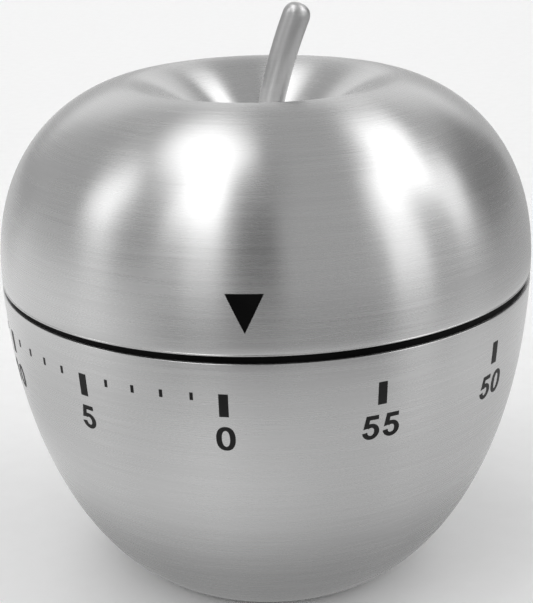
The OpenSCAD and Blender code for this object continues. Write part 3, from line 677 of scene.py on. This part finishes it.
def turned_metal(name, dark, light, roughness, scale=900.0, anisotropy=0.3, grain=0.1):
    """Machined metal: fine rings around the piece's own height and a faint cloudiness."""
    n = Nodes(name)
    n.set(Metallic=1.0, Anisotropic=anisotropy)
    point = n.object_point()
    split = n.add("ShaderNodeSeparateXYZ")
    n.join(point, split.inputs[0])
    stretch = n.add("ShaderNodeMapping")
    stretch.inputs["Scale"].default_value = (0.15, 0.15, 4.0)
    n.join(point, stretch.inputs["Vector"])
    lines = n.noise(stretch.outputs[0], scale, 2.0, 0.5)
    cloud = n.noise(point, scale / 6, 3.0, 0.55)
    mixed = n.math("ADD", n.math("MULTIPLY", lines, 0.5), n.math("MULTIPLY", cloud, 0.5))
    n.join(n.ramp(mixed, dark, light, 0.35, 0.65), n.shader.inputs["Base Color"])
    n.join(n.spread(mixed, roughness * 0.8, roughness * 1.25), n.shader.inputs["Roughness"])
    n.join(n.bump(lines, grain, 0.00002), n.shader.inputs["Normal"])
    return n.material


def moulded(name, dark, light, roughness, scale=2600.0, bump=0.25, gloss=0.3):
    """Moulded plastic, rubber or ink with a fine grain."""
    n = Nodes(name)
    n.set(Metallic=0.0, Specular_IOR_Level=gloss)
    point = n.object_point()
    grain = n.noise(point, scale, 3.0, 0.6)
    cloud = n.noise(point, scale / 20, 2.0, 0.5)
    n.join(n.ramp(cloud, dark, light), n.shader.inputs["Base Color"])
    n.join(n.spread(grain, roughness * 0.85, roughness * 1.15), n.shader.inputs["Roughness"])
    n.join(n.bump(grain, bump, 0.00003), n.shader.inputs["Normal"])
    return n.material


shell_steel = brushed_shell("brushed_shell_steel")
stem_steel = turned_metal("stem_steel", grey(0.52), grey(0.57), 0.36, 1800.0, 0.1, 0.03)
scale_ink = moulded("scale_ink", grey(0.008), grey(0.014), 0.45, 5000.0, 0.1, 0.15)
pointer_ink = moulded("pointer_ink", grey(0.001), grey(0.003), 0.5, 5000.0, 0.1, 0.05)
black_plastic = moulded("black_plastic", grey(0.001), grey(0.003), 0.5, gloss=0.05)
hub_plastic = moulded("hub_plastic", (0.012, 0.012, 0.013), (0.022, 0.022, 0.024), 0.45)
rubber = moulded("pad_rubber", grey(0.016), grey(0.03), 0.8, 1500.0, 0.4)
plate_brass = turned_metal("plate_brass", (0.62, 0.45, 0.2), (0.78, 0.6, 0.3), 0.35)
turned_brass = turned_metal("turned_brass", (0.66, 0.48, 0.2), (0.82, 0.62, 0.3), 0.22)
wheel_brass = turned_metal("wheel_brass", (0.64, 0.46, 0.2), (0.8, 0.62, 0.32), 0.3)
screw_steel = turned_metal("screw_steel", (0.5, 0.5, 0.52), (0.66, 0.66, 0.68), 0.3)
arbor_steel = turned_metal("arbor_steel", grey(0.5), grey(0.66), 0.2)
stamped_steel = turned_metal("stamped_steel", (0.42, 0.42, 0.43), (0.58, 0.58, 0.6), 0.38)
drum_steel = turned_metal("drum_steel", grey(0.46), grey(0.6), 0.35)
spring_steel = turned_metal("spring_steel", (0.09, 0.1, 0.14), (0.16, 0.18, 0.25), 0.3)
bell_steel = turned_metal("bell_steel", (0.6, 0.6, 0.61), (0.75, 0.75, 0.76), 0.12, 500.0, 0.2, 0.04)

SLOT_MATERIALS = {
    "shell_steel": shell_steel, "rubber": rubber, "scale_ink": scale_ink,
    "pointer_ink": pointer_ink, "stem_steel": stem_steel, "black_plastic": black_plastic,
    "hub_plastic": hub_plastic, "screw_steel": screw_steel, "plate_brass": plate_brass,
    "turned_brass": turned_brass, "wheel_brass": wheel_brass, "arbor_steel": arbor_steel,
    "stamped_steel": stamped_steel, "drum_steel": drum_steel, "spring_steel": spring_steel,
    "bell_steel": bell_steel,
}


def dress(piece, material):
    piece.data.materials.clear()
    piece.data.materials.append(material)


def dress_frame():
    slots = {s["node"]: s["material_slot"] for s in frame["record"]["subparts"]}
    for name, node in frame["nodes"].items():
        dress(node, SLOT_MATERIALS[slots[name]])


dress_frame()


def place(piece, body, slot, *nodes):
    dress(piece, SLOT_MATERIALS[slot])
    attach(piece, body)
    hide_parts(*nodes)


place(lower_shell(), "case", "shell_steel", "lower_shell")
place(upper_shell(), "dial", "shell_steel", "upper_shell")
place(stem(), "dial", "stem_steel", "stem")
place(scale_print(), "case", "scale_ink", "scale_print")
place(pointer_print(), "dial", "pointer_ink", "pointer_print")

# ---- floor, light and world ----


FLOOR_HALF = 2.0


def floor():
    mesh = bpy.data.meshes.new("floor")
    half = FLOOR_HALF
    mesh.from_pydata([(-half, -half, 0), (half, -half, 0), (half, half, 0), (-half, half, 0)], [],
                     [(0, 1, 2, 3)])
    piece = link("floor", mesh)
    n = Nodes("floor_paper")
    n.set(Metallic=0.0, Roughness=0.9)
    grain = n.noise(n.object_point(), 300.0, 2.0)
    n.join(n.ramp(grain, grey(0.94), grey(0.965)), n.shader.inputs["Base Color"])
    dress(piece, n.material)


floor()

# Soft boxes of the studio, as azimuth, elevation, half width, half height and edge softness in
# degrees, then brightness. Azimuth 0 is the camera's side and + is its right.
ROOM = 0.52
SOFTBOXES = {
    "overhead_left": (-97, 76, 64, 16, 6, 1.8),
    "key_left": (-38, 50, 15, 14, 4, 1.7),
    "key_left_foot": (-27, 18, 8, 22, 4, 0.4),
    "side_left": (-86, 37, 9, 13, 3, 1.8),
    "side_left_foot": (-74, 8, 8, 14, 4, 0.25),
    "key_right": (86, 46, 20, 11, 4, 1.7),
    "key_right_top": (124, 53, 22, 8, 4, 1.7),
    "key_right_end": (107, 30, 5, 7, 3, 1.2),
    "strip_right": (62, 22, 9, 24, 3, 0.9),
    "second_strip_right": (95, 26, 6, 16, 3, 1.0),
    "back": (180, 24, 32, 11, 6, 0.45),
}
DARK_PANELS = {
    "front": (-4, 25, 10, 28, 5, 0.6),
    "above_front": (0, 70, 24, 7, 4, 0.35),
    "right": (127, 10, 20, 18, 6, 0.5),
    "left": (-59, 18, 8, 16, 5, 0.25),
    "back_left": (-138, -2, 16, 9, 5, 0.25),
}


def within(n, value, half, soft):
    """1 where value is under half, 0 where it is over, with a soft edge."""
    edge = n.add("ShaderNodeMapRange", interpolation_type="SMOOTHSTEP")
    edge.inputs["From Min"].default_value = half + soft
    edge.inputs["From Max"].default_value = half - soft
    n.join(value, edge.inputs["Value"])
    return edge.outputs["Result"]


def turn_from(n, azimuth, degrees):
    """How far an azimuth is from another, whichever way round, in radians."""
    turn = n.math("SUBTRACT", azimuth, math.radians(degrees))
    return n.math("ABSOLUTE", n.math("ARCTAN2", n.math("SINE", turn), n.math("COSINE", turn)))


def camera_side_azimuth(n, split):
    """Azimuth of a point or direction, 0 towards the camera's side."""
    azimuth = n.math("ARCTAN2", split.outputs["X"], n.math("MULTIPLY", split.outputs["Y"], -1.0))
    return n.math("SUBTRACT", azimuth, CAMERA_AZIMUTH)


def soft_patch(n, azimuth, elevation, box):
    """1 inside a box on the sky, 0 outside, with soft edges."""
    a, e, half_a, half_e, soft, _ = box
    away = n.math("ABSOLUTE", n.math("SUBTRACT", elevation, math.radians(e)))
    return n.math("MULTIPLY",
                  within(n, turn_from(n, azimuth, a), math.radians(half_a), math.radians(soft)),
                  within(n, away, math.radians(half_e), math.radians(soft)))


class WorldNodes(Nodes):
    """The same helpers for the nodes of the world."""

    def __init__(self):
        self.world = bpy.data.worlds.new("studio")
        self.world.use_nodes = True
        self.tree = self.world.node_tree
        self.shader = self.tree.nodes["Background"]


def studio():
    n = WorldNodes()
    split = n.add("ShaderNodeSeparateXYZ")
    n.join(n.add("ShaderNodeTexCoord").outputs["Generated"], split.inputs[0])
    azimuth = camera_side_azimuth(n, split)
    elevation = n.math("ARCSINE", split.outputs["Z"])
    glow = ROOM
    for box in SOFTBOXES.values():
        glow = n.math("ADD", n.math("MULTIPLY", soft_patch(n, azimuth, elevation, box), box[-1]), glow)
    for box in DARK_PANELS.values():
        shade = n.math("MULTIPLY", soft_patch(n, azimuth, elevation, box), box[-1])
        glow = n.math("MULTIPLY", glow, n.math("SUBTRACT", 1.0, shade))
    n.shader.inputs["Color"].default_value = (1, 1, 1, 1)
    n.join(glow, n.shader.inputs["Strength"])
    bpy.context.scene.world = n.world


studio()

# A painted reflection of the floor as the steel reflects it: a glowing sheet just above the floor that
# only reflections show. Each zone is an azimuth, half width and softness in degrees, an inner and an
# outer radius and their softness in millimetres, and how much darker it is: painted shade, such as the
# body's shadow near the base.
# A negative value is brighter, a painted brighter patch.
FLOOR_GLOW = 0.86
PAINTED_FLOOR_REFLECTION_ZONES = {
    # near: the painted shadow of the body on the floor, as the steel reflects it
    "near": (0, 200, 5, -50, 32, 9, 0.54),
    "right_middle": (75, 70, 25, 28, 70, 14, 0.2),
    "left_middle": (-78, 45, 20, 48, 98, 12, 0.17),
    "front": (5, 44, 14, 100, 145, 10, 0.95),
    "front_edge": (5, 65, 14, 98, 150, 12, 0.3),
    "front_far": (5, 50, 14, 145, 600, 15, 0.6),
    "right_far": (112, 52, 10, 118, 3000, 12, 0.4),
    "left": (-105, 50, 10, 75, 3000, 12, -0.1),
    "left_far": (-143, 18, 8, 190, 3000, 20, 0.3),
}
SHEET_Z = 0.3 * MM
SHEET_INNER_R = 16.6 * MM
SHEET_OUTER_R = 1900 * MM
SHEET_STEPS = 64


def reflected_floor():
    steps = SHEET_STEPS
    vertices = []
    for i in range(steps):
        a = 2 * math.pi * i / steps
        for r in (SHEET_INNER_R, SHEET_OUTER_R):
            vertices.append((r * math.cos(a), r * math.sin(a), SHEET_Z))
    faces = [(2 * i, 2 * i + 1, (2 * i + 3) % (2 * steps), (2 * i + 2) % (2 * steps))
             for i in range(steps)]
    mesh = bpy.data.meshes.new("reflected_floor")
    mesh.from_pydata(vertices, [], faces)
    piece = link("reflected_floor", mesh)
    n = Nodes("reflected_floor")
    point = n.object_point()
    split = n.add("ShaderNodeSeparateXYZ")
    n.join(point, split.inputs[0])
    azimuth = camera_side_azimuth(n, split)
    length = n.add("ShaderNodeVectorMath", operation="LENGTH")
    n.join(point, length.inputs[0])
    glow = FLOOR_GLOW
    for a, half, soft, inner_r, outer_r, soft_r, painted_shade in PAINTED_FLOOR_REFLECTION_ZONES.values():
        middle = (inner_r + outer_r) / 2 * MM
        away = n.math("ABSOLUTE", n.math("SUBTRACT", length.outputs["Value"], middle))
        zone = n.math("MULTIPLY",
                      within(n, turn_from(n, azimuth, a), math.radians(half), math.radians(soft)),
                      within(n, away, (outer_r - inner_r) / 2 * MM, soft_r * MM))
        # each zone darkens or brightens the glowing sheet: painted shade or light in the floor's
        # reflection
        glow = n.math("MULTIPLY", glow, n.math("SUBTRACT", 1.0, n.math("MULTIPLY", zone, painted_shade)))
    # the sheet glows though it is no lamp: a painted reflection of the floor
    light = n.add("ShaderNodeEmission")
    n.join(glow, light.inputs["Strength"])
    n.join(light.outputs[0], n.tree.nodes["Material Output"].inputs["Surface"])
    n.tree.nodes.remove(n.shader)
    dress(piece, n.material)
    piece.visible_camera = False
    piece.visible_diffuse = False
    piece.visible_shadow = False
    piece.visible_transmission = False


reflected_floor()

bpy.context.scene.view_settings.view_transform = "Standard"
